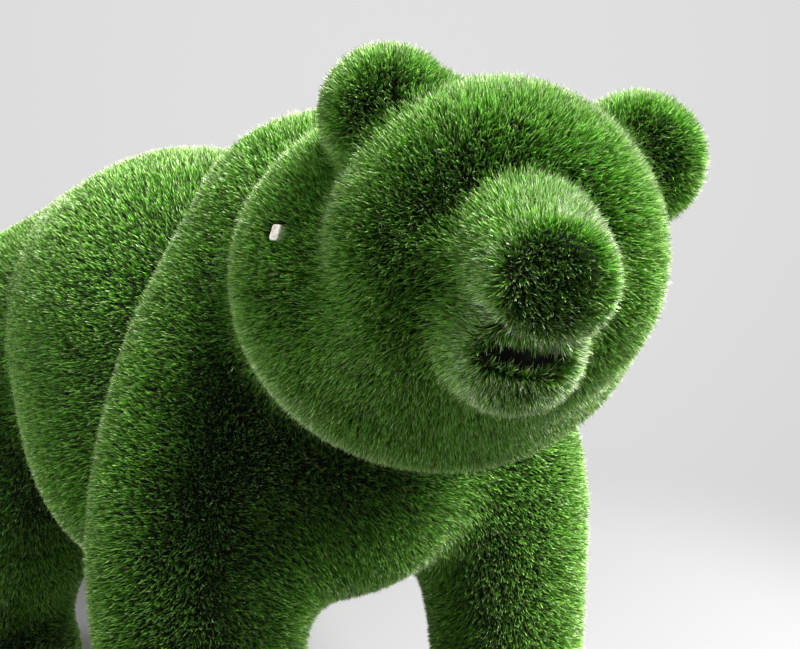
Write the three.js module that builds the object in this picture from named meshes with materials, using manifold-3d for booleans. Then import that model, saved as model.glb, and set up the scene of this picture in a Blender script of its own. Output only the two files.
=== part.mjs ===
// A life-size bear standing on four legs, moulded in one and clad all over in artificial turf.
// A small pale tab shows in a parting of the turf on the right of its neck.
// The outline is the tips of the turf.
//
// Units are millimetres. The bear faces -Y, its right side is -X and +Z is up.
// It stands on the floor at z = 0.
import * as THREE from "three";
import { mergeVertices } from "three/addons/utils/BufferGeometryUtils.js";
import Module from "manifold-3d";

// Driving dimensions. Each rounded mass of the trunk has a centre and half sizes along x, y and z.
const BARREL = { at: [0, 200, 855], half: [362, 480, 388] };
const BELLY = { at: [0, 90, 672], half: [354, 400, 278] };
const RUMP = { at: [0, 540, 862], half: [310, 350, 296] };
const BRISKET = { at: [0, -230, 750], half: [270, 290, 235] };

// Limbs are chains of balls, [x, y, z, radius], from the trunk down.
// The forelegs start on the shoulder hump.
const RIGHT_FORELEG = [
  [-40, -300, 1105, 188],
  [-155, -260, 900, 180],
  [-256, -325, 690, 163],
  [-285, -390, 430, 142],
  [-287, -400, 95, 130],
];
const LEFT_FORELEG = [
  [40, -300, 1105, 188],
  [185, -270, 900, 192],
  [290, -325, 690, 180],
  [292, -390, 430, 142],
  [287, -400, 95, 130],
];
const RIGHT_HIND_LEG = [
  [-190, 600, 830, 235],
  [-262, 550, 500, 185],
  [-297, 630, 260, 140],
  [-308, 655, 95, 120],
];
const FORE_PAW = { at: [-287, -460, 58], half: [142, 180, 88] };
const HIND_PAW = { at: [-312, 600, 56], half: [126, 185, 82] };

// The neck is a straight stretch with a fat collar of turf round it, tilted forwards below.
const NECK = [
  [0, -300, 1020, 225],
  [-20, -590, 1080, 215],
];
const COLLAR = { at: [-2, -580, 1084], half: [283, 159, 240], tilt: { nod: -16, lean: 8, turn: -19 } };

// The head is turned towards the bear's right and leans down to its left.
const HEAD = { at: [-34, -710, 1157], tilt: { lean: 10, turn: -32 } };

// Sizes on the head, from its middle in its own frame: x to its left, -y forward, z up.
// The skull and the ears are drums: round seen from the front, with flat faces and rounded rims.
const SKULL = { at: [-5, 15, -8], half: [201, 173, 196], flatness: 3.1, taper: 0.06 };
const MUZZLE = [
  [0, -110, 8, 93],
  [8, -245, -3, 68],
];
const NOSE_FLAT_Y = -288;
const JAW = [
  [0, -110, -72, 98],
  [3, -190, -82, 72],
];
const CHIN_FLAT_Y = -250;
const MOUTH = { at: [4, -265, -83], half: [58, 28, 10] };
const RIGHT_EAR = { at: [-147, 28, 119], half: [83, 65, 83], flatness: 3, tilt: { nod: 5, turn: 13 } };
const LEFT_EAR = { at: [152, 28, 119], half: [83, 65, 83], flatness: 3, tilt: { nod: 5, turn: -13 } };

// How far two masses melt together where they meet.
// Collar and head, and skull and snout, melt more below than above: those melts change between two heights,
// measured on the bear for the head and on the head for the snout.
const TRUNK_MELT = 110;
const PAW_MELT = 60;
const HIP_MELT = 60;
const CHEST_MELT = 90;
const SHOULDER_MELT = 40;
const NECK_MELT = 60;
const COLLAR_MELT = 35;
const HEAD_MELT = { below: 70, above: 15, from: 1040, to: 1140 };
const SNOUT_MELT = { below: 50, above: 9, from: -7, to: 53 };
const NOSE_MELT = 20;
const JAW_MELT = 18;
const LIP_MELT = 13;
const EAR_MELT = 28;

// A small pale tab stands in a pocket where the turf parts on the right of the collar.
// It has a nearest point there, a size across and up, and stays a little below the tips.
// The pocket runs further to the shoulder.
const TAB_NEAR = [-249, -560, 1168];
const TAB = { wide: 14, tall: 20, sunk: 3, corner: 3, bevel: 1 };
const POCKET = { wide: 26, tall: 28, deep: 19, shift: [-4, 2] };
const TAB_GAP = 0.3;
const TAB_ROUNDING = { curveSegments: 3, bevelSegments: 2 };

// The middle of the bear's box on the floor, which is the part's origin.
const MIDDLE = [11, -43.31];

// The mesh: its steps over the body, over the head and at the floor, and its limits all round.
const BODY_STEP = 66;
const HEAD_STEP = 29;
const FLOOR_STEP = 30;
const REACH = { x: [-640, 640], y: [-1240, 1180], z: 1580 };
const HEAD_REACH = { x: [-270, 250], y: [-330, 250], z: [-300, 260] };
const LIMB_STEPS = 4;
const RELAX_ROUNDS = 6;
const RELAX_SHARE = 0.5;
const SETTLE_ROUNDS = 3;
const PROBE = 1;
const LEAST_SLOPE = 0.05;
const TINY = 1e-9;

const mirrored = ([x, ...rest]) => [-x, ...rest];
const mirroredMass = (mass) => ({ ...mass, at: mirrored(mass.at) });

// A frame at a place, tilted by a nod about its x, a lean about its y and a turn about its z, in degrees.
function frameAt(at, { nod = 0, lean = 0, turn = 0 }) {
  const [x, y, z] = [nod, lean, turn].map(THREE.MathUtils.degToRad);
  return new THREE.Matrix4().makeRotationFromEuler(new THREE.Euler(x, y, z, "ZXY")).setPosition(...at);
}

// Distance to an ellipsoid, close to true near its surface.
function ellipsoid({ at, half, tilt = {} }) {
  const inwards = frameAt(at, tilt).invert();
  const sizes = new THREE.Vector3(...half);
  const scaled = new THREE.Vector3();
  return (point) => {
    const near = scaled.copy(point).applyMatrix4(inwards).divide(sizes).length();
    const slope = scaled.divide(sizes).length();
    return slope < TINY ? -Math.min(...half) : (near * (near - 1)) / slope;
  };
}

// Distance to a drum that lies along y, close to true near its surface. More flatness makes its rim
// tighter, and a taper makes it narrower upwards.
function drum({ at, half, flatness, taper = 0, tilt = {} }) {
  const inwards = frameAt(at, tilt).invert();
  const sizes = new THREE.Vector3(...half);
  const scaled = new THREE.Vector3();
  return (point) => {
    scaled.copy(point).applyMatrix4(inwards).divide(sizes);
    scaled.x *= 1 + taper * THREE.MathUtils.clamp(scaled.z, -1, 1);
    const ring = Math.hypot(scaled.x, scaled.z);
    const depth = Math.abs(scaled.y);
    const near = (ring ** flatness + depth ** flatness) ** (1 / flatness);
    const across = ring ** (flatness - 2) * Math.hypot(scaled.x / sizes.x, scaled.z / sizes.z);
    const slope = Math.hypot(across, depth ** (flatness - 1) / sizes.y);
    return slope < TINY ? -Math.min(...half) : ((near - 1) * near ** (flatness - 1)) / slope;
  };
}

// A chain of balls with more balls between them, on a Catmull-Rom curve through their places and radii.
function smoothChain(balls) {
  const ball = (i) => balls[THREE.MathUtils.clamp(i, 0, balls.length - 1)];
  const stations = [];
  for (let i = 0; i + 1 < balls.length; i++)
    for (let step = 0; step < LIMB_STEPS; step++) {
      const t = step / LIMB_STEPS;
      const [a, b, c, d] = [i - 1, i, i + 1, i + 2].map(ball);
      stations.push(
        b.map((_, k) => {
          const bend = 2 * a[k] - 5 * b[k] + 4 * c[k] - d[k];
          const twist = 3 * b[k] - a[k] - 3 * c[k] + d[k];
          return b[k] + 0.5 * t * (c[k] - a[k] + t * (bend + t * twist));
        }),
      );
    }
  return [...stations, balls.at(-1)];
}

// Distance to a chain of balls joined by cones, each link measured square to its own slope.
function limb(balls) {
  const station = ([x, y, z, radius]) => ({ at: new THREE.Vector3(x, y, z), radius });
  const stations = smoothChain(balls).map(station);
  const links = stations.slice(1).map((to, i) => {
    const from = stations[i];
    const length = from.at.distanceTo(to.at);
    const taper = (from.radius - to.radius) / length;
    const along = to.at.clone().sub(from.at).divideScalar(length);
    return { from, to, length, along, slope: taper / Math.sqrt(1 - taper * taper) };
  });
  const offset = new THREE.Vector3();
  return (point) => {
    let least = Infinity;
    for (const { from, to, length, along, slope } of links) {
      const forward = offset.copy(point).sub(from.at).dot(along);
      const sideways = Math.sqrt(Math.max(offset.lengthSq() - forward * forward, 0));
      const share = THREE.MathUtils.clamp((forward - sideways * slope) / length, 0, 1);
      const gap = Math.hypot(forward - share * length, sideways);
      least = Math.min(least, gap - THREE.MathUtils.lerp(from.radius, to.radius, share));
    }
    return least;
  };
}

// The nearer of two distances, rounded where they differ by less than the melt.
function melt(a, b, blend) {
  const share = Math.max(blend - Math.abs(a - b), 0) / blend;
  return Math.min(a, b) - (share * share * blend) / 4;
}

// A melt that differs below and above, at one height.
function meltAt({ below, above, from, to }, height) {
  return THREE.MathUtils.lerp(below, above, THREE.MathUtils.smoothstep(height, from, to));
}

// What is left of a solid once another is taken out of it, with a rounded lip.
const carve = (solid, tool, blend) => -melt(-solid, tool, blend);

function makeHead() {
  const inwards = frameAt(HEAD.at, HEAD.tilt).invert();
  const skull = drum(SKULL);
  const muzzle = limb(MUZZLE);
  const jaw = limb(JAW);
  const mouth = ellipsoid(MOUTH);
  const ears = [RIGHT_EAR, LEFT_EAR].map(drum);
  const p = new THREE.Vector3();
  return (point) => {
    p.copy(point).applyMatrix4(inwards);
    const nose = carve(muzzle(p), p.y - NOSE_FLAT_Y, NOSE_MELT);
    const chin = carve(jaw(p), p.y - CHIN_FLAT_Y, NOSE_MELT);
    const face = melt(melt(skull(p), nose, meltAt(SNOUT_MELT, p.z)), chin, JAW_MELT);
    const snouted = carve(face, mouth(p), LIP_MELT);
    return ears.reduce((near, ear) => melt(near, ear(p), EAR_MELT), snouted);
  };
}

function makeLeg(chain, paw) {
  const leg = limb(chain);
  const foot = ellipsoid(paw);
  return (point) => melt(leg(point), foot(point), PAW_MELT);
}

// Signed distance to the whole bear: below zero inside it.
function makeBear() {
  const [barrel, belly, rump, brisket, collar] = [BARREL, BELLY, RUMP, BRISKET, COLLAR].map(ellipsoid);
  const foreRight = makeLeg(RIGHT_FORELEG, FORE_PAW);
  const foreLeft = makeLeg(LEFT_FORELEG, mirroredMass(FORE_PAW));
  const hindRight = makeLeg(RIGHT_HIND_LEG, HIND_PAW);
  const hindLeft = makeLeg(RIGHT_HIND_LEG.map(mirrored), mirroredMass(HIND_PAW));
  const neck = limb(NECK);
  const head = makeHead();
  return (p) => {
    const trunk = melt(melt(barrel(p), rump(p), TRUNK_MELT), belly(p), TRUNK_MELT);
    const rear = melt(trunk, Math.min(hindRight(p), hindLeft(p)), HIP_MELT);
    const front = melt(melt(foreRight(p), foreLeft(p), CHEST_MELT), brisket(p), CHEST_MELT);
    const body = melt(rear, front, SHOULDER_MELT);
    const throat = melt(neck(p), collar(p), NECK_MELT);
    return melt(melt(body, throat, COLLAR_MELT), head(p), meltAt(HEAD_MELT, p.z));
  };
}

// How steeply a distance grows along x, y and z at a point.
function slopeAt(distance, point) {
  const probe = new THREE.Vector3();
  const along = ["x", "y", "z"].map((axis) => {
    probe.copy(point)[axis] += PROBE;
    const beyond = distance(probe);
    probe[axis] -= 2 * PROBE;
    return (beyond - distance(probe)) / (2 * PROBE);
  });
  return new THREE.Vector3(...along);
}

// Grid lines from low to high: fine steps inside one stretch, coarse ones outside it.
function gridLines([low, high], [fineLow, fineHigh]) {
  const stretch = (from, to, step) => {
    const count = Math.max(1, Math.round((to - from) / step));
    return Array.from({ length: count }, (_, i) => THREE.MathUtils.lerp(from, to, i / count));
  };
  return [
    ...stretch(low, fineLow, BODY_STEP),
    ...stretch(fineLow, fineHigh, HEAD_STEP),
    ...stretch(fineHigh, high, BODY_STEP),
    high,
  ];
}

// The surface where the distance is zero, as a closed net that is flat on the floor.
// It has one vertex in each grid cell that the surface crosses and one quad across each grid edge that it
// crosses, and is then evened out in rounds.
function netGeometry(distance, lines) {
  const size = lines.map((line) => line.length);
  const at = (i, j, k) => (k * size[1] + j) * size[0] + i;
  const steps = [at(1, 0, 0), at(0, 1, 0), at(0, 0, 1)];
  const field = new Float64Array(size[0] * size[1] * size[2]);
  const here = new THREE.Vector3();
  const eachCell = (visit, from = 0) => {
    for (let k = 0; k + 1 < size[2]; k++)
      for (let j = from; j + 1 < size[1]; j++)
        for (let i = from; i + 1 < size[0]; i++) visit(i, j, k);
  };
  eachCell((i, j, k) => {
    here.set(lines[0][i], lines[1][j], lines[2][k]);
    field[at(i, j, k)] = Math.max(distance(here), -here.z);
  });
  const inside = (node) => field[node] < 0;

  // The corners of a cell that are inside fall into groups joined along its edges.
  // Each group has a vertex at the middle of the crossings round it, so that two folds of the surface in
  // one cell stay apart.
  const vertexOf = new Map();
  const points = [];
  const onFloor = [];
  const cornerStep = (corner) => steps.reduce((sum, step, axis) => sum + ((corner >> axis) & 1) * step, 0);
  eachCell((i, j, k) => {
    const cell = at(i, j, k);
    const vertices = [];
    const crossings = [];
    const gather = (corner) => {
      const node = cell + cornerStep(corner);
      vertices[corner] = points.length;
      for (let axis = 0; axis < 3; axis++) {
        const across = corner ^ (1 << axis);
        const next = cell + cornerStep(across);
        if (!inside(next)) crossings.push(crossingAt([i, j, k], corner, axis, field[node], field[next]));
        else if (vertices[across] === undefined) gather(across);
      }
    };
    for (let corner = 0; corner < 8; corner++) {
      if (vertices[corner] !== undefined || !inside(cell + cornerStep(corner))) continue;
      crossings.length = 0;
      gather(corner);
      if (!crossings.length) return;
      const sum = crossings.reduce((total, place) => total.add(place), new THREE.Vector3());
      points.push(sum.divideScalar(crossings.length));
      onFloor.push(k === 0);
    }
    vertexOf.set(cell, vertices);
  });

  function crossingAt(cell, corner, axis, value, nextValue) {
    const place = cell.map((n, a) => lines[a][n + ((corner >> a) & 1)]);
    const beyond = lines[axis][cell[axis] + 1 - ((corner >> axis) & 1)];
    place[axis] += (value / (value - nextValue)) * (beyond - place[axis]);
    return new THREE.Vector3(...place);
  }

  const quads = [];
  eachCell((i, j, k) => {
    for (let axis = k === 0 ? 2 : 0; axis < 3; axis++) {
      const node = at(i, j, k);
      const leaving = inside(node);
      if (leaving === inside(node + steps[axis])) continue;
      const [u, v] = [(axis + 1) % 3, (axis + 2) % 3];
      const end = leaving ? 0 : 1 << axis;
      const round = [(1 << u) | (1 << v), 1 << v, 0, 1 << u];
      const ring = round.map((corner) => vertexOf.get(node - cornerStep(corner))[corner | end]);
      quads.push(leaving ? ring : ring.reverse());
    }
  }, 1);

  const neighbours = points.map(() => new Set());
  for (const ring of quads)
    ring.forEach((a, n) => {
      const b = ring[(n + 1) % 4];
      neighbours[a].add(b);
      neighbours[b].add(a);
    });
  const onRim = points.map((_, n) => onFloor[n] && [...neighbours[n]].some((m) => !onFloor[m]));

  function settle(p, n) {
    if (onFloor[n]) p.z = 0;
    if (onFloor[n] && !onRim[n]) return;
    for (let round = 0; round < SETTLE_ROUNDS; round++) {
      const slope = slopeAt(distance, p);
      if (onFloor[n]) slope.z = 0;
      p.addScaledVector(slope, -distance(p) / Math.max(slope.lengthSq(), LEAST_SLOPE));
    }
  }
  points.forEach(settle);
  for (let round = 0; round < RELAX_ROUNDS; round++) {
    const moved = points.map((p, n) => {
      const mean = new THREE.Vector3();
      neighbours[n].forEach((m) => mean.add(points[m]));
      return mean.divideScalar(neighbours[n].size).lerp(p, 1 - RELAX_SHARE);
    });
    moved.forEach(settle);
    moved.forEach((p, n) => points[n].copy(p));
  }

  // Each quad is cut along its shorter diagonal, unless another quad is cut along the same two points.
  const edges = new Set();
  const key = (a, b) => Math.min(a, b) * points.length + Math.max(a, b);
  neighbours.forEach((around, a) => around.forEach((b) => edges.add(key(a, b))));
  const triangles = quads.flatMap(([a, b, c, d]) => {
    const short = points[a].distanceTo(points[c]) < points[b].distanceTo(points[d]);
    const alongAC = edges.has(key(a, c)) ? false : short || edges.has(key(b, d));
    edges.add(alongAC ? key(a, c) : key(b, d));
    return alongAC ? [a, b, c, a, c, d] : [a, b, d, b, c, d];
  });
  return new THREE.BufferGeometry().setFromPoints(points).setIndex(triangles);
}

const wasm = await Module();
wasm.setup();

// A closed geometry as a solid that can be cut, and back again.
function solidOf(geometry) {
  const bare = new THREE.BufferGeometry().setAttribute("position", geometry.getAttribute("position"));
  const merged = mergeVertices(bare.setIndex(geometry.index));
  const vertProperties = new Float32Array(merged.getAttribute("position").array);
  const triVerts = new Uint32Array(merged.index.array);
  return new wasm.Manifold(new wasm.Mesh({ numProp: 3, vertProperties, triVerts }));
}

function geometryOf(solid) {
  const { vertProperties, triVerts } = solid.getMesh();
  const positions = new THREE.BufferAttribute(vertProperties, 3);
  return new THREE.BufferGeometry().setAttribute("position", positions).setIndex([...triVerts]);
}

// The tab's own frame on the surface: x across it, y up it, z straight out of the turf.
function tabFrame(distance) {
  const spot = new THREE.Vector3(...TAB_NEAR);
  const out = slopeAt(distance, spot).normalize();
  spot.addScaledVector(out, -distance(spot));
  const across = new THREE.Vector3(0, 0, 1).cross(out).normalize();
  const up = out.clone().cross(across);
  return new THREE.Matrix4().makeBasis(across, up, out).setPosition(spot);
}

function pocketGeometry() {
  const box = new THREE.BoxGeometry(POCKET.wide, POCKET.tall, 2 * POCKET.deep);
  return box.translate(...POCKET.shift, 0);
}

function tabGeometry() {
  const [x, y] = [TAB.wide / 2 - TAB.bevel, TAB.tall / 2 - TAB.bevel];
  const r = TAB.corner;
  const outline = new THREE.Shape()
    .moveTo(x, r - y)
    .lineTo(x, y - r)
    .absarc(x - r, y - r, r, 0, Math.PI / 2)
    .absarc(r - x, y - r, r, Math.PI / 2, Math.PI)
    .absarc(r - x, r - y, r, Math.PI, 1.5 * Math.PI)
    .absarc(x - r, r - y, r, 1.5 * Math.PI, 2 * Math.PI);
  const depth = POCKET.deep - TAB.sunk - TAB_GAP - 2 * TAB.bevel;
  const bevel = { bevelSize: TAB.bevel, bevelThickness: TAB.bevel };
  const block = new THREE.ExtrudeGeometry(outline, { depth, ...bevel, ...TAB_ROUNDING });
  return block.translate(0, 0, TAB_GAP + TAB.bevel - POCKET.deep);
}

const bear = makeBear();
const reachOfHead = (axis, n) => HEAD_REACH[axis].map((reach) => HEAD.at[n] + reach);
const lines = [
  gridLines(REACH.x, reachOfHead("x", 0)),
  gridLines(REACH.y, reachOfHead("y", 1)),
  [-FLOOR_STEP, ...gridLines([FLOOR_STEP, REACH.z], reachOfHead("z", 2))],
];
const onNeck = tabFrame(bear);
const pocket = solidOf(pocketGeometry().applyMatrix4(onNeck));

const turf = new THREE.MeshStandardMaterial({ color: "#4c8a2c", roughness: 0.75, metalness: 0 });
const palePlastic = new THREE.MeshStandardMaterial({ color: "#e9e7df", roughness: 0.5, metalness: 0 });

const group = new THREE.Group();
group.position.set(-MIDDLE[0], -MIDDLE[1], 0);

const body = new THREE.Mesh(geometryOf(solidOf(netGeometry(bear, lines)).subtract(pocket)), turf);
body.name = "turf_bear";
group.add(body);

const tab = new THREE.Mesh(tabGeometry(), palePlastic);
tab.name = "neck_tab";
tab.applyMatrix4(onNeck);
group.add(tab);

export default group;
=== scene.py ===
# %% [markdown]
# # A topiary bear clad in artificial turf
# The object is a life-size bear that stands on four feet. Its moulded body is glued all over with
# landscape turf, so everything that the eye meets is the tips of upright plastic blades, and only a small
# tab on its neck is smooth. Fur in Blender is often made with particle hair, but hair is lost when a
# model leaves Blender. Here every blade is a real face of a mesh, planted by whole-array numpy on a
# backing that follows the bear's form.

import bpy
import numpy as np
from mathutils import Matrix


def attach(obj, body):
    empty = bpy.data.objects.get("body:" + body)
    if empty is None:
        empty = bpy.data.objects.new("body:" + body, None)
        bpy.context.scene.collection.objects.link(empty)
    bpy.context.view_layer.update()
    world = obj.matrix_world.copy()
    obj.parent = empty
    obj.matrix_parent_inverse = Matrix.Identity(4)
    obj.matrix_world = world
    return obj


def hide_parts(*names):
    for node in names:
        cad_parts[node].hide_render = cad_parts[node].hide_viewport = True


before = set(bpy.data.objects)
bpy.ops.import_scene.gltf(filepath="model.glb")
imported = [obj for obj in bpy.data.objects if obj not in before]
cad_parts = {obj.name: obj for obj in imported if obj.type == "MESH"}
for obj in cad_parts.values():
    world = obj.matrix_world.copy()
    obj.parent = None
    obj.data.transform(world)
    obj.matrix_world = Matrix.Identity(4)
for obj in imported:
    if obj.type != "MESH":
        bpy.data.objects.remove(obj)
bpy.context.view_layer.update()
METRE = 1000.0

# %% [markdown]
# ## The camera
# The bear is seen from its front right, from a little below the height of its ears, with a lens close to
# what the eye sees. A camera object could be aimed with a constraint, but its place, heading and pitch
# are known, so they are set as plain numbers.

# %% Camera
CAMERA_PLACE = (-0.791, -1.50069, 1.3)
CAMERA_HEADING = -36.0
CAMERA_PITCH_DOWN = 12.4
LENS = 42.75

camera = bpy.data.objects.new("camera", bpy.data.cameras.new("camera"))
camera.location = CAMERA_PLACE
camera.rotation_euler = np.radians([90 - CAMERA_PITCH_DOWN, 0, CAMERA_HEADING])
camera.data.lens = LENS
bpy.context.scene.collection.objects.link(camera)
bpy.context.scene.camera = camera
bpy.context.scene.view_settings.view_transform = "Standard"
print("camera", CAMERA_PLACE, "lens", LENS)

# %% [markdown]
# ## The bear's form
# The form is a set of rounded masses that melt into each other, as a modeller would build it in clay:
# barrel, belly, rump, legs, neck, collar, skull, muzzle, jaw and ears. Metaballs could do this, but they
# give no control over each melt. Here each mass is a distance worked out for whole arrays of points, and
# the melts are one formula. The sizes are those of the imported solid, in millimetres, with the bear facing
# -Y and its right side at -X.

# %% Sizes of the masses
MIDDLE = np.array([11.0, -43.31, 0.0])

BARREL = {"at": (0, 200, 855), "half": (362, 480, 388)}
BELLY = {"at": (0, 90, 672), "half": (354, 400, 278)}
RUMP = {"at": (0, 540, 862), "half": (310, 350, 296)}
BRISKET = {"at": (0, -230, 750), "half": (270, 290, 235)}
RIGHT_FORELEG = [
    (-40, -300, 1105, 188),
    (-155, -260, 900, 180),
    (-256, -325, 690, 163),
    (-285, -390, 430, 142),
    (-287, -400, 95, 130),
]
LEFT_FORELEG = [
    (40, -300, 1105, 188),
    (185, -270, 900, 192),
    (290, -325, 690, 180),
    (292, -390, 430, 142),
    (287, -400, 95, 130),
]
RIGHT_HIND_LEG = [
    (-190, 600, 830, 235),
    (-262, 550, 500, 185),
    (-297, 630, 260, 140),
    (-308, 655, 95, 120),
]
FORE_PAW = {"at": (-287, -460, 58), "half": (142, 180, 88)}
HIND_PAW = {"at": (-312, 600, 56), "half": (126, 185, 82)}
NECK = [(0, -300, 1020, 225), (-20, -590, 1080, 215)]
COLLAR = {"at": (-2, -580, 1084), "half": (283, 159, 240), "tilt": (-16, 8, -19)}
HEAD_PLACE = np.array([-34.0, -710.0, 1157.0])
HEAD_TILT = (0, 10, -32)

# On the head, from its middle: x to its left, -y forward, z up. Skull and ears are drums with flat faces.
SKULL = {"at": (-5, 15, -8), "half": (201, 173, 196), "flatness": 3.1, "taper": 0.06}
MUZZLE = [(0, -110, 8, 93), (8, -245, -3, 68)]
NOSE_FLAT_Y = -288
JAW = [(0, -110, -72, 98), (3, -190, -82, 72)]
CHIN_FLAT_Y = -250
MOUTH = {"at": (4, -265, -83), "half": (58, 28, 10)}
RIGHT_EAR = {"at": (-147, 28, 119), "half": (83, 65, 83), "flatness": 3, "tilt": (5, 0, 13)}
LEFT_EAR = {"at": (152, 28, 119), "half": (83, 65, 83), "flatness": 3, "tilt": (5, 0, -13)}

MELT = {
    "trunk": 110,
    "paw": 60,
    "hip": 60,
    "chest": 90,
    "shoulder": 40,
    "neck": 60,
    "collar": 35,
    "nose": 20,
    "jaw": 18,
    "lip": 13,
    "ear": 28,
}
# Two melts differ below and above: their sizes there, and the heights that they change between.
HEAD_MELT = (70, 15, 1040, 1140)
SNOUT_MELT = (50, 9, -7, 53)
LIMB_STEPS = 4
TINY = 1e-9

# %% Distances to the masses


def tilted(nod, lean, turn):
    """Rotation matrix of a lean about y, then a nod about x, then a turn about z, in degrees."""
    (a, b, c), (d, e, f) = np.cos(np.radians([nod, lean, turn])), np.sin(np.radians([nod, lean, turn]))
    about_x = np.array([[1, 0, 0], [0, a, -d], [0, d, a]])
    about_y = np.array([[b, 0, e], [0, 1, 0], [-e, 0, b]])
    about_z = np.array([[c, -f, 0], [f, c, 0], [0, 0, 1]])
    return about_z @ about_x @ about_y


def flipped(mass):
    """The mirror image of a mass or a chain of balls on the other side of x = 0."""
    if isinstance(mass, dict):
        x, y, z = mass["at"]
        return {**mass, "at": (-x, y, z)}
    return [(-x, y, z, radius) for x, y, z, radius in mass]


def ellipsoid(points, mass):
    """Distance to an ellipsoid: with n = |p / half|, it is n (n - 1) over |p / half squared|."""
    local = (points - mass["at"]) @ tilted(*mass.get("tilt", (0, 0, 0)))
    half = np.array(mass["half"], float)
    near = np.linalg.norm(local / half, axis=-1)
    steepness = np.linalg.norm(local / half**2, axis=-1)
    return near * (near - 1) / np.maximum(steepness, TINY)


def drum(points, mass):
    """Distance to a drum along y, narrower upwards by its taper.

    With g = p / half and ring = |g_x, g_z|, its level is (ring^k + |g_y|^k)^(1/k).
    """
    half = np.array(mass["half"], float)
    power = mass["flatness"]
    g = (points - mass["at"]) @ tilted(*mass.get("tilt", (0, 0, 0))) / half
    g[:, 0] *= 1 + mass.get("taper", 0) * np.clip(g[:, 2], -1, 1)
    ring = np.hypot(g[:, 0], g[:, 2])
    depth = np.abs(g[:, 1])
    near = (ring**power + depth**power) ** (1 / power)
    across = ring ** (power - 2) * np.hypot(g[:, 0] / half[0], g[:, 2] / half[2])
    steepness = np.hypot(across, depth ** (power - 1) / half[1])
    return (near - 1) * near ** (power - 1) / np.maximum(steepness, TINY)


def smooth_chain(balls):
    """More balls between the given ones, on a Catmull-Rom curve through their places and radii."""
    balls = np.array(balls, float)
    before, after = np.vstack([balls[:1], balls[:-2]]), np.vstack([balls[2:], balls[-1:]])
    low, high = balls[:-1], balls[1:]
    t = (np.arange(LIMB_STEPS) / LIMB_STEPS)[None, :, None]
    a, b, c, d = (rows[:, None] for rows in (before, low, high, after))
    curve = b + 0.5 * t * (c - a + t * (2 * a - 5 * b + 4 * c - d + t * (3 * b - a - 3 * c + d)))
    return np.vstack([curve.reshape(-1, 4), balls[-1:]])


def limb(points, balls):
    """Distance to a chain of balls joined by cones, each link measured square to its own slope."""
    chain = smooth_chain(balls)
    least = np.full(len(points), np.inf)
    for start, end in zip(chain[:-1], chain[1:]):
        span = end[:3] - start[:3]
        length = np.linalg.norm(span)
        taper = (start[3] - end[3]) / length
        offset = points - start[:3]
        forward = offset @ (span / length)
        sideways = np.sqrt(np.maximum((offset**2).sum(1) - forward**2, 0))
        share = np.clip((forward - sideways * taper / np.sqrt(1 - taper**2)) / length, 0, 1)
        radius = start[3] + share * (end[3] - start[3])
        least = np.minimum(least, np.hypot(forward - share * length, sideways) - radius)
    return least


def melt(a, b, reach):
    """The nearer of two distances, rounded where they differ by less than the melt's reach."""
    share = np.maximum(reach - np.abs(a - b), 0) / reach
    return np.minimum(a, b) - share**2 * reach / 4


def melt_at(sizes, height):
    """A melt that goes from its size below to its size above on a smooth step between two heights."""
    below, above, low, high = sizes
    share = np.clip((height - low) / (high - low), 0, 1)
    return below + (above - below) * share**2 * (3 - 2 * share)


def carve(solid, tool, reach):
    """What is left of a solid once a tool is taken out of it, with a rounded lip."""
    return -melt(-solid, tool, reach)


# %% Distances to the head, the legs and the whole bear
HEAD_TURN = tilted(*HEAD_TILT)


def on_head(points):
    """Points in the head's own frame."""
    return (points - HEAD_PLACE) @ HEAD_TURN


def off_head(points):
    """Points of the head's own frame in the bear's."""
    return np.asarray(points, float) @ HEAD_TURN.T + HEAD_PLACE


def head(points):
    """Skull, muzzle, jaw and ears melted together, with the mouth carved out."""
    local = on_head(points)
    nose = carve(limb(local, MUZZLE), local[:, 1] - NOSE_FLAT_Y, MELT["nose"])
    chin = carve(limb(local, JAW), local[:, 1] - CHIN_FLAT_Y, MELT["nose"])
    face = melt(drum(local, SKULL), nose, melt_at(SNOUT_MELT, local[:, 2]))
    face = melt(face, chin, MELT["jaw"])
    face = carve(face, ellipsoid(local, MOUTH), MELT["lip"])
    for ear in (RIGHT_EAR, LEFT_EAR):
        face = melt(face, drum(local, ear), MELT["ear"])
    return face


def leg(points, chain, paw):
    """A chain of balls melted with a paw."""
    return melt(limb(points, chain), ellipsoid(points, paw), MELT["paw"])


def masses(points):
    """Distances to the head, the neck, the front and the rear of the bear, one row each."""
    trunk = melt(ellipsoid(points, BARREL), ellipsoid(points, RUMP), MELT["trunk"])
    trunk = melt(trunk, ellipsoid(points, BELLY), MELT["trunk"])
    hind = np.minimum(
        leg(points, RIGHT_HIND_LEG, HIND_PAW),
        leg(points, flipped(RIGHT_HIND_LEG), flipped(HIND_PAW)),
    )
    fore = melt(
        leg(points, RIGHT_FORELEG, FORE_PAW),
        leg(points, LEFT_FORELEG, flipped(FORE_PAW)),
        MELT["chest"],
    )
    front = melt(fore, ellipsoid(points, BRISKET), MELT["chest"])
    neck = melt(limb(points, NECK), ellipsoid(points, COLLAR), MELT["neck"])
    return np.stack([head(points), neck, front, melt(trunk, hind, MELT["hip"])])


def bear(points):
    """Signed distance to the tips of the turf, below zero inside."""
    face, neck, front, rear = masses(points)
    body = melt(rear, front, MELT["shoulder"])
    return melt(melt(body, neck, MELT["collar"]), face, melt_at(HEAD_MELT, points[:, 2]))


print("distance from the head's middle to the tips", round(float(bear(HEAD_PLACE[None])[0]), 1), "mm")

# %% [markdown]
# ## The backing
# Under the blades lies the woven backing of the turf, glued to the moulded body. It follows the form at
# the depth of the pile and shows only in the partings, dark and brownish. A voxel remesh of the solid
# could make it, but it would lose the mouth. A surface net is used instead: the distance to the tips is
# worked out on a grid, each grid cell that the surface crosses gets one point, and each crossed grid edge
# gets one quad. The backing is the same net, sunk.

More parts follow.
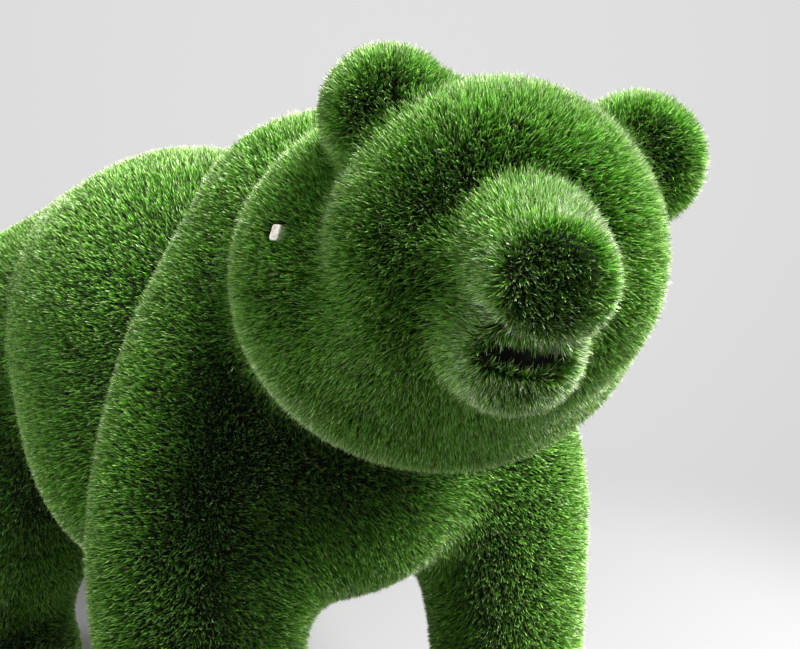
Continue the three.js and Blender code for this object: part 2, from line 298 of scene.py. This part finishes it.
# %% Nets of the tips and of the backing
PILE = 19.0
SOLE = 1.0
CELL = 26.0
REACH_LOW = np.array([-500.0, -1020.0, SOLE - CELL / 2])
REACH_HIGH = np.array([500.0, 930.0, 1420.0])
PROBE = 1.0
SETTLE_ROUNDS = 3
LEAST_STEEPNESS = 0.1


def tips(points):
    """Distance to the tips of the turf, cut flat at the soles."""
    return np.maximum(bear(points), SOLE - points[:, 2])


def backing(points):
    """Distance to the backing: a pile's depth inside the tips, and cut flat at the soles."""
    return np.maximum(bear(points) + PILE, SOLE - points[:, 2])


def unit(vectors):
    """Vectors scaled to length one."""
    return vectors / np.maximum(np.linalg.norm(vectors, axis=-1, keepdims=True), TINY)


def slope(distance, points):
    """How steeply a distance grows along x, y and z, by central differences."""
    steps = PROBE * np.eye(3)
    return np.stack([distance(points + s) - distance(points - s) for s in steps], -1) / (2 * PROBE)


def settled(distance, points, rounds):
    """Points moved down the slope until the distance is zero, one Newton step in each round."""
    for _ in range(rounds):
        steepness = slope(distance, points)
        pull = distance(points) / np.maximum((steepness**2).sum(1), LEAST_STEEPNESS)
        points = points - pull[:, None] * steepness
    return points


def surface_net(distance, low, high, cell):
    """Points and quads where the distance is zero.

    The point of each cell is the mean of the crossings on its edges.
    """
    counts = np.ceil((high - low) / cell).astype(int) + 1
    lines = [low[a] + cell * np.arange(counts[a]) for a in range(3)]
    field = np.empty(counts)
    for k, z in enumerate(lines[2]):
        layer = np.stack(np.meshgrid(lines[0], lines[1], [z], indexing="ij"), -1).reshape(-1, 3)
        field[:, :, k] = distance(layer).reshape(counts[:2])
    inside = field < 0
    strides = np.array([counts[1] * counts[2], counts[2], 1])
    rings, places = [], []
    for axis in range(3):
        last = counts[axis] - 1
        nodes = np.argwhere(inside.take(range(last), axis) != inside.take(range(1, last + 1), axis))
        flat = nodes @ strides
        value, beyond = field.flat[flat], field.flat[flat + strides[axis]]
        places.append(low + cell * (nodes + (value / (value - beyond))[:, None] * np.eye(3)[axis]))
        u, v = strides[(axis + 1) % 3], strides[(axis + 2) % 3]
        ring = flat[:, None] - np.array([u + v, v, 0, u])
        rings.append(np.where(inside.flat[flat][:, None], ring, ring[:, ::-1]))
    rings, places = np.vstack(rings), np.vstack(places)
    cells, corner = np.unique(rings, return_inverse=True)
    corner = corner.reshape(-1)
    sums = [np.bincount(corner, np.repeat(places[:, a], 4)) for a in range(3)]
    return np.stack(sums, -1) / np.bincount(corner)[:, None], corner.reshape(-1, 4)


net_points, net_quads = surface_net(tips, REACH_LOW, REACH_HIGH, CELL)
net_points = settled(tips, net_points, SETTLE_ROUNDS)
sunk_points = settled(backing, net_points - PILE * unit(slope(bear, net_points)), SETTLE_ROUNDS)
net_zones = masses(net_points).argmin(0)
print("net", len(net_points), "points", 2 * len(net_quads), "triangles")

# %% Pieces from arrays


def make_piece(name, points, faces):
    """A mesh object at the origin from points in the bear's millimetres and an array of faces."""
    mesh = bpy.data.meshes.new(name)
    mesh.vertices.add(len(points))
    mesh.vertices.foreach_set("co", ((points - MIDDLE) / METRE).astype(np.float32).ravel())
    mesh.loops.add(faces.size)
    mesh.loops.foreach_set("vertex_index", faces.astype(np.int32).ravel())
    mesh.polygons.add(len(faces))
    mesh.polygons.foreach_set("loop_start", np.arange(0, faces.size, faces.shape[1], dtype=np.int32))
    mesh.update(calc_edges=True)
    piece = bpy.data.objects.new(name, mesh)
    bpy.context.scene.collection.objects.link(piece)
    return piece


turf_backing = make_piece("turf_backing", sunk_points, net_quads)
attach(turf_backing, "root")
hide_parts("turf_bear")

# %% [markdown]
# ## Where the tufts stand
# Turf is stitched in tufts of a few blades. The tufts could stand on a regular grid, but on a rounded
# form a grid shows seams, so they are spread over the area at the tips by a sequence that leaves no gaps
# and no rows: each step adds two fixed irrational shares to the place on a triangle. Tight curves stay as
# full as the rest. They stand closest on the head, where the eye is nearest, and none stand under the
# soles or in the pocket round the pale tab. Many of the blades in the mouth are short and brown.

# %% Tufts
SEED = 7
ZONES = ("head", "neck", "front", "rear")
BLADES_PER_SQUARE_METRE = (330e3, 270e3, 165e3, 97e3)
BLADES_PER_TUFT = 2
EVEN_STEPS = ((0.7548777,), (0.5698403,))
SOLE_FACING = -0.6
SOLE_CLEAR = 30.0
TAB_NEAR = np.array([[-249.0, -560.0, 1168.0]])
POCKET_HALF = np.array([13.0, 14.0])
POCKET_SHIFT = np.array([-4.0, 2.0])
POCKET_REACH = 60.0
random = np.random.default_rng(SEED)

tab_out = unit(slope(bear, TAB_NEAR))[0]
tab_place = TAB_NEAR[0] - tab_out * bear(TAB_NEAR)[0]
tab_across = unit(np.cross([0, 0, 1], tab_out))
tab_up = np.cross(tab_out, tab_across)

triangles = np.vstack([net_quads[:, [0, 1, 2]], net_quads[:, [0, 2, 3]]])
corners = net_points[triangles]
spans = np.cross(corners[:, 1] - corners[:, 0], corners[:, 2] - corners[:, 0])
areas = np.linalg.norm(spans, axis=1) / 2 / METRE**2
zones = net_zones[triangles[:, 0]]
under_sole = (unit(spans)[:, 2] < SOLE_FACING) & (corners.mean(1)[:, 2] < SOLE_CLEAR)
wanted = areas * np.array(BLADES_PER_SQUARE_METRE)[zones] / BLADES_PER_TUFT * ~under_sole
running = np.cumsum(wanted)
tuft_count = int(running[-1])
picks = (np.arange(tuft_count) + random.random(tuft_count)) * running[-1] / tuft_count
tuft_face = np.searchsorted(running, picks).clip(0, len(triangles) - 1)
a, b = EVEN_STEPS * np.arange(tuft_count) % 1
a, b = np.where(a + b > 1, 1 - a, a), np.where(a + b > 1, 1 - b, b)
shares = np.stack([1 - a - b, a, b], -1)[:, :, None]
tuft_tip = settled(tips, (corners[tuft_face] * shares).sum(1), 1)
tuft_zone = zones[tuft_face]
from_tab = tuft_tip - tab_place
on_tab = np.stack([from_tab @ tab_across, from_tab @ tab_up], -1) - POCKET_SHIFT
in_pocket = (np.abs(on_tab) < POCKET_HALF).all(1) & (np.linalg.norm(from_tab, axis=1) < POCKET_REACH)
tuft_tip, tuft_zone = tuft_tip[~in_pocket], tuft_zone[~in_pocket]
tuft_out = unit(slope(bear, tuft_tip))
tuft_root = tuft_tip - PILE * tuft_out
in_mouth = ellipsoid(on_head(tuft_tip), MOUTH) < 0
zone_area = np.bincount(zones, areas, len(ZONES))
print("area by zone", dict(zip(ZONES, zone_area.round(2))), "tufts", len(tuft_root))

# %% [markdown]
# ## How the blades lean
# Blades stand straight out of the backing and lean a little at random, and in patches of a few
# centimetres they lean together. Where two sheets of turf meet, or where a sheet is pulled over a tight
# curve, the pile parts: the blades lean away from a line and brown thatch shows between them. That
# happens on the forehead, on the ears, on the right edge of the nose, above the mouth and below it, where
# the chin's blades fan out. Combed particle hair could show this, but here one formula bends all the
# blades at once.

# %% Partings
# Each parting has its two ends on the head, how far it reaches and how much it leans the blades.
PARTINGS = [
    ((-111, -59, 148), (-67, -150, 70), 14, 0.12),
    ((-155, -31, 178), (-146, -42, 142), 12, 0.25),
    ((156, -36, 162), (148, -38, 152), 12, 0.25),
    ((-28, -127, 133), (-20, -130, 131), 12, 0.25),
    ((-42, -280, 2), (-40, -280, 6), 26, 0.28),
    ((-48, -255, -63), (58, -255, -63), 30, 0.5),
    ((-30, -248, -94), (36, -248, -94), 45, 0.45),
]
BARE_REACH = 9.0
PATCH_WAVES = 9
PATCH_SIZE = (60.0, 160.0)
PATCH_LEAN = 0.04
TUFT_LEAN = 0.05
BLADE_LEAN = (0.19, 0.15, 0.14, 0.13)
TUFT_SPREAD = 1.6


def parted(points, outward):
    """Lean away from the partings along the surface, and how bare each point is.

    Both fall off with the gap to the line, as exp(-(gap / reach) squared).
    """
    lean = np.zeros_like(points)
    bare = np.zeros(len(points))
    for start, end, reach, strength in PARTINGS:
        start, end = off_head([start, end])
        span = end - start
        share = np.clip((points - start) @ span / (span @ span), 0, 1)
        away = points - start - share[:, None] * span
        away -= (away * outward).sum(1, keepdims=True) * outward
        gap = np.linalg.norm(away, axis=1, keepdims=True)
        lean += strength * np.exp(-((gap / reach) ** 2)) * away / np.maximum(gap, TINY)
        bare = np.maximum(bare, np.exp(-((gap[:, 0] / BARE_REACH) ** 2)))
    return lean, bare


def in_patches(points):
    """Lean of the pile in patches: a sum of sine waves with random ways, lengths and phases."""
    lean = np.zeros_like(points)
    for _ in range(PATCH_WAVES):
        wave = unit(random.normal(size=3)) * 2 * np.pi / random.uniform(*PATCH_SIZE)
        swing = np.sin(points @ wave + random.uniform(0, 2 * np.pi))
        lean += PATCH_LEAN * swing[:, None] * unit(random.normal(size=3))
    return lean


tuft_lean, tuft_bare = parted(tuft_tip, tuft_out)
tuft_fanned = np.linalg.norm(tuft_lean, axis=1)
tuft_lean += in_patches(tuft_tip) + random.normal(0, TUFT_LEAN, tuft_tip.shape)

# %% [markdown]
# ## The blades
# A blade is a slim ribbon of polyethylene, about 20 mm long and about 2 mm wide at most. Ribbons with
# many faces would bend better, but their number is what makes turf look like turf, so each blade is one
# triangle: narrow at the root, widest at three fifths of its length and pointed at the tip. Its place on
# a texture map holds its colour: four rows for the four yarns, and along each row how bright the blade
# is. The palest yarn is painted highlight: it is given most where the blades fan out and on the sides
# that face up and to the bear's left, where the light falls.

# %% Blades
BLADE_LENGTH = 19.5
BLADE_LENGTH_SPREAD = 0.06
BLADE_WIDTH = (1.2, 1.25, 1.5, 1.9)
BLADE_WIDTH_SPREAD = (0.75, 1.15)
BLADE_WIDEST = 0.62
THATCH_LENGTH = 13.0
THATCH_LEAN = 0.45
YARN_SHARES = (0.46, 0.43, 0.06, 0.05)
PALEST, THATCH = 2, 3
# Painted highlight: shares of the palest yarn where the blades fan out and on the sides facing up and to
# the bear's left, where the light falls.
FANNED_HIGHLIGHT_SHARE = 1.3
LIT_SIDE_PALE_SHARE = 0.6
LIT_SIDE = unit(np.array([0.5, -0.2, 0.84]))
BARE_SHARE = 0.3
MOUTH_SHARE = 0.6
MAP_EDGE = 0.03
MAP_WIDTH = 0.003
LEAST_HEIGHT = 0.6
MOST_BLADES = 190000


def plant(zone):
    """Three corners and their places on the map for each blade of one zone's tufts."""
    chosen = np.repeat(np.flatnonzero(tuft_zone == zone), BLADES_PER_TUFT)
    count = len(chosen)
    yarn = random.choice(len(YARN_SHARES), count, p=YARN_SHARES)
    # Painted highlight: paler yarn on the blades whose sides face the light and where they fan out.
    lit_side_paleness = np.clip(tuft_out[chosen] @ LIT_SIDE, 0, 1) ** 2
    paleness = LIT_SIDE_PALE_SHARE * lit_side_paleness + FANNED_HIGHLIGHT_SHARE * tuft_fanned[chosen]
    brownness = np.maximum(MOUTH_SHARE * in_mouth, BARE_SHARE * tuft_bare)[chosen]
    yarn[random.random(count) < paleness] = PALEST
    yarn[random.random(count) < brownness] = THATCH
    is_thatch = yarn == THATCH
    spread = np.where(is_thatch, THATCH_LEAN, BLADE_LEAN[zone])[:, None]
    direction = unit(tuft_out[chosen] + tuft_lean[chosen] + spread * random.normal(size=(count, 3)))
    length = np.where(is_thatch, THATCH_LENGTH, BLADE_LENGTH)
    length = length * random.normal(1, BLADE_LENGTH_SPREAD, count)
    side = unit(np.cross(direction, random.normal(size=(count, 3))))
    root = tuft_root[chosen] + TUFT_SPREAD * random.normal(size=(count, 3))
    reach = direction * length[:, None]
    width = BLADE_WIDTH[zone] * random.uniform(*BLADE_WIDTH_SPREAD, count)[:, None]
    points = np.stack([root, root + BLADE_WIDEST * reach + side * width, root + reach], 1)
    points[:, :, 2] = np.maximum(points[:, :, 2], LEAST_HEIGHT)
    heights = MAP_EDGE + (1 - 2 * MAP_EDGE) * np.array([0, BLADE_WIDEST, 1])
    across = random.uniform(0, 1 - MAP_WIDTH, count)[:, None] + MAP_WIDTH * np.array([0, 1, 0])
    up = (yarn[:, None] + heights) / len(YARN_SHARES)
    return points, np.stack([across, up], -1).astype(np.float32)


turf_pieces = []
for zone, zone_name in enumerate(ZONES):
    points, places = plant(zone)
    from_front = np.argsort(points[:, 0, 1], kind="stable")
    part_count = -(-len(points) // MOST_BLADES)
    for part, chosen in enumerate(np.array_split(from_front, part_count)):
        name = f"{zone_name}_turf_{part + 1}"
        piece = make_piece(name, points[chosen].reshape(-1, 3), np.arange(3 * len(chosen)).reshape(-1, 3))
        layer = piece.data.uv_layers.new(name="OFBake")
        layer.uv.foreach_set("vector", places[chosen].ravel())
        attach(piece, "root")
        turf_pieces.append(piece)
        print(name, len(chosen), "blades")

# %% [markdown]
# ## Finishes
# The blades are extruded polyethylene yarn, glossy, in three greens with some brown curled thatch between
# them. Along each blade the colour runs from a dark root, which is painted shade between the roots, through
# fresh green in the middle to a pale tip, which is painted highlight. A hair shader would need strands, so
# the plain Principled shader is used, and its colour follows the map of each blade from root to tip.

# %% Colours and nodes


def linear(hex_colour):
    """An sRGB hex colour as linear red, green, blue and an alpha of one."""
    parts = np.array([int(hex_colour[i : i + 2], 16) for i in (1, 3, 5)]) / 255
    curve = np.where(parts <= 0.04045, parts / 12.92, ((parts + 0.055) / 1.055) ** 2.4)
    return (*curve, 1.0)


def add_node(tree, kind, inputs=(), **settings):
    """Adds a node, sets its properties, and links or sets the inputs given as (socket, value) pairs."""
    node = tree.nodes.new(kind)
    for key, value in settings.items():
        setattr(node, key, value)
    for socket, value in inputs:
        if isinstance(value, bpy.types.NodeSocket):
            tree.links.new(value, node.inputs[socket])
        else:
            node.inputs[socket].default_value = value
    return node


def new_material(name, roughness):
    """A material with its node tree and its Principled shader, which has the given roughness."""
    material = bpy.data.materials.new(name)
    material.use_nodes = True
    shader = material.node_tree.nodes["Principled BSDF"]
    shader.inputs["Roughness"].default_value = roughness
    return material, material.node_tree, shader


def set_stops(ramp, stops, interpolation="LINEAR"):
    """Gives a colour ramp its stops, as (place, hex colour) pairs."""
    ramp.color_ramp.interpolation = interpolation
    elements = ramp.color_ramp.elements
    while len(elements) < len(stops):
        elements.new(1.0)
    for element, (place, colour) in zip(elements, stops):
        element.position = place
        element.color = linear(colour)


# %% Polyethylene turf yarn
# Extruded ribbon, drawn and slit: a smooth surface that takes pale highlights along the blade.
YARN_ROUGHNESS = 0.32
YARN_GLOSS = 1.0
# The dark root colour is painted shade between the roots, and the pale tips are painted highlight.
ROOT_SHADE_COLOUR = "#0e3605"
MIDDLE_COLOURS = ("#469608", "#60ae0e", "#86b83c", "#4a3a26")
TIP_COLOURS = ("#b8d47c", "#cbdf98", "#fdfcf2", "#c4b088")
ROOT_TO_MIDDLE = (0.2, 0.65)
MIDDLE_TO_TIP = (0.68, 0.96)
DARKEST, BRIGHTEST = 0.2, 1.85
MIX_FACTOR, MIX_FROM, MIX_TO, MIX_RESULT = 0, 6, 7, 2

yarn, tree, shader = new_material("polyethylene_turf_yarn", YARN_ROUGHNESS)
shader.inputs["Specular IOR Level"].default_value = YARN_GLOSS
blade_map = add_node(tree, "ShaderNodeUVMap", uv_map="OFBake")
axes = add_node(tree, "ShaderNodeSeparateXYZ", [(0, blade_map.outputs[0])])
rows = len(YARN_SHARES)
in_rows = add_node(tree, "ShaderNodeMath", [(0, axes.outputs["Y"]), (1, rows)], operation="MULTIPLY")
height = add_node(tree, "ShaderNodeMath", [(0, in_rows.outputs[0])], operation="FRACT")
row_starts = np.arange(rows) / rows
colour = None
for colours, (low, high) in ((MIDDLE_COLOURS, ROOT_TO_MIDDLE), (TIP_COLOURS, MIDDLE_TO_TIP)):
    by_yarn = add_node(tree, "ShaderNodeValToRGB", [(0, axes.outputs["Y"])])
    set_stops(by_yarn, list(zip(row_starts, colours)), "CONSTANT")
    share = add_node(tree, "ShaderNodeMapRange", [(0, height.outputs[0]), (1, low), (2, high)])
    blend = add_node(
        tree,
        "ShaderNodeMix",
        [
            (MIX_FACTOR, share.outputs[0]),
            (MIX_FROM, colour or linear(ROOT_SHADE_COLOUR)),
            (MIX_TO, by_yarn.outputs[0]),
        ],
        data_type="RGBA",
    )
    colour = blend.outputs[MIX_RESULT]
bright = add_node(tree, "ShaderNodeMapRange", [(0, axes.outputs["X"]), (3, DARKEST), (4, BRIGHTEST)])
shade = add_node(tree, "ShaderNodeHueSaturation", [("Value", bright.outputs[0]), ("Color", colour)])
tree.links.new(shade.outputs[0], shader.inputs["Base Color"])
for piece in turf_pieces:
    piece.data.materials.append(yarn)

# %% Woven backing and moulded tab
MOTTLE_FROM, MOTTLE_TO = 0.35, 0.65


def mottled(name, roughness, grain_mm, dark, pale):
    """A material whose colour wanders between two hex colours in grains of the given size."""
    material, tree, shader = new_material(name, roughness)
    place = add_node(tree, "ShaderNodeTexCoord")
    grain = add_node(
        tree,
        "ShaderNodeTexNoise",
        [("Vector", place.outputs["Object"]), ("Scale", METRE / grain_mm)],
    )
    colour = add_node(tree, "ShaderNodeValToRGB", [(0, grain.outputs[0])])
    set_stops(colour, [(MOTTLE_FROM, dark), (MOTTLE_TO, pale)])
    tree.links.new(colour.outputs[0], shader.inputs["Base Color"])
    return material


# Woven polypropylene with a coat of dark latex, dull and brownish.
turf_backing.data.materials.append(mottled("latex_coated_backing", 0.9, 6.0, "#070f03", "#14150a"))

# Moulded plastic, off-white and a little scuffed.
tab_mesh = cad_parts["neck_tab"].data
tab_mesh.materials.clear()
tab_mesh.materials.append(mottled("moulded_abs", 0.45, 5.0, "#b3aa98", "#ebe8e0"))

# %% [markdown]
# ## Floor and light
# A pale floor carries the bear's shadow, and a pale room surrounds both. A wall close behind the bear
# would hide it from other sides, so the room is only the colour of the world, brightest behind the bear
# and dim overhead, and the floor fades into it. The light is soft and comes from above, most of it from
# the bear's left.

# %% Floor
FLOOR_HALF = 3200.0
FLOOR_FADE = (1.3, 2.3)
FLOOR_COLOUR = "#929292"
FLOOR_ROUGHNESS = 0.7

floor_points = np.array([(-1, -1, 0), (1, -1, 0), (1, 1, 0), (-1, 1, 0)]) * FLOOR_HALF
floor = make_piece("floor", floor_points, np.array([[0, 1, 2, 3]]))
paint, tree, shader = new_material("pale_floor_paint", FLOOR_ROUGHNESS)
shader.inputs["Base Color"].default_value = linear(FLOOR_COLOUR)
place = add_node(tree, "ShaderNodeTexCoord")
away = add_node(tree, "ShaderNodeVectorMath", [(0, place.outputs["Object"])], operation="LENGTH")
fade = add_node(
    tree,
    "ShaderNodeMapRange",
    [(0, away.outputs["Value"]), (1, FLOOR_FADE[0]), (2, FLOOR_FADE[1]), (3, 1.0), (4, 0.0)],
    interpolation_type="SMOOTHSTEP",
)
tree.links.new(fade.outputs[0], shader.inputs["Alpha"])
floor.data.materials.append(paint)

# %% Lights
ROOM_BRIGHT_SIDE = (0.588, 0.809, 0.0)
ROOM_COLOURS = {"before": "#a0a0a0", "beside": "#909090", "behind": "#e1e1e1"}
DIM_FROM, DIM_TO = 0.25, 0.2
LAMP_TARGET = np.array([-0.04, -0.55, 1.0])
# Each lamp has its place in metres, the width of its square face and its power in watts.
LAMPS = {
    "left_high": ((1.16, -1.42, 4.17), 2.0, 400),
    "left_low": ((2.28, -2.24, 3.01), 2.0, 225),
    "right_low": ((-2.36, 1.14, 3.01), 2.0, 95),
}

world = bpy.data.worlds.new("room")
bpy.context.scene.world = world
world.use_nodes = True
way = add_node(world.node_tree, "ShaderNodeTexCoord")
facing = add_node(
    world.node_tree,
    "ShaderNodeVectorMath",
    [(0, way.outputs["Generated"]), (1, ROOM_BRIGHT_SIDE)],
    operation="DOT_PRODUCT",
)
share = add_node(world.node_tree, "ShaderNodeMapRange", [(0, facing.outputs["Value"]), (1, -1.0)])
glow = add_node(world.node_tree, "ShaderNodeValToRGB", [(0, share.outputs[0])])
set_stops(glow, list(zip((0.0, 0.5, 1.0), ROOM_COLOURS.values())))
height = add_node(world.node_tree, "ShaderNodeSeparateXYZ", [(0, way.outputs["Generated"])])
dim = add_node(
    world.node_tree,
    "ShaderNodeMapRange",
    [(0, height.outputs["Z"]), (1, DIM_FROM), (3, 1.0), (4, DIM_TO)],
)
background = world.node_tree.nodes["Background"]
world.node_tree.links.new(glow.outputs[0], background.inputs["Color"])
world.node_tree.links.new(dim.outputs[0], background.inputs["Strength"])

for name, (place, width, power) in LAMPS.items():
    lamp = bpy.data.objects.new(name, bpy.data.lights.new(name, "AREA"))
    lamp.data.size = width
    lamp.data.energy = power
    lamp.location = place
    x, y, z = np.array(place) - LAMP_TARGET
    lamp.rotation_euler = (np.arctan2(np.hypot(x, y), z), 0, np.arctan2(x, -y))
    bpy.context.scene.collection.objects.link(lamp)
print("lamps", {name: power for name, (*_, power) in LAMPS.items()}, "watts")
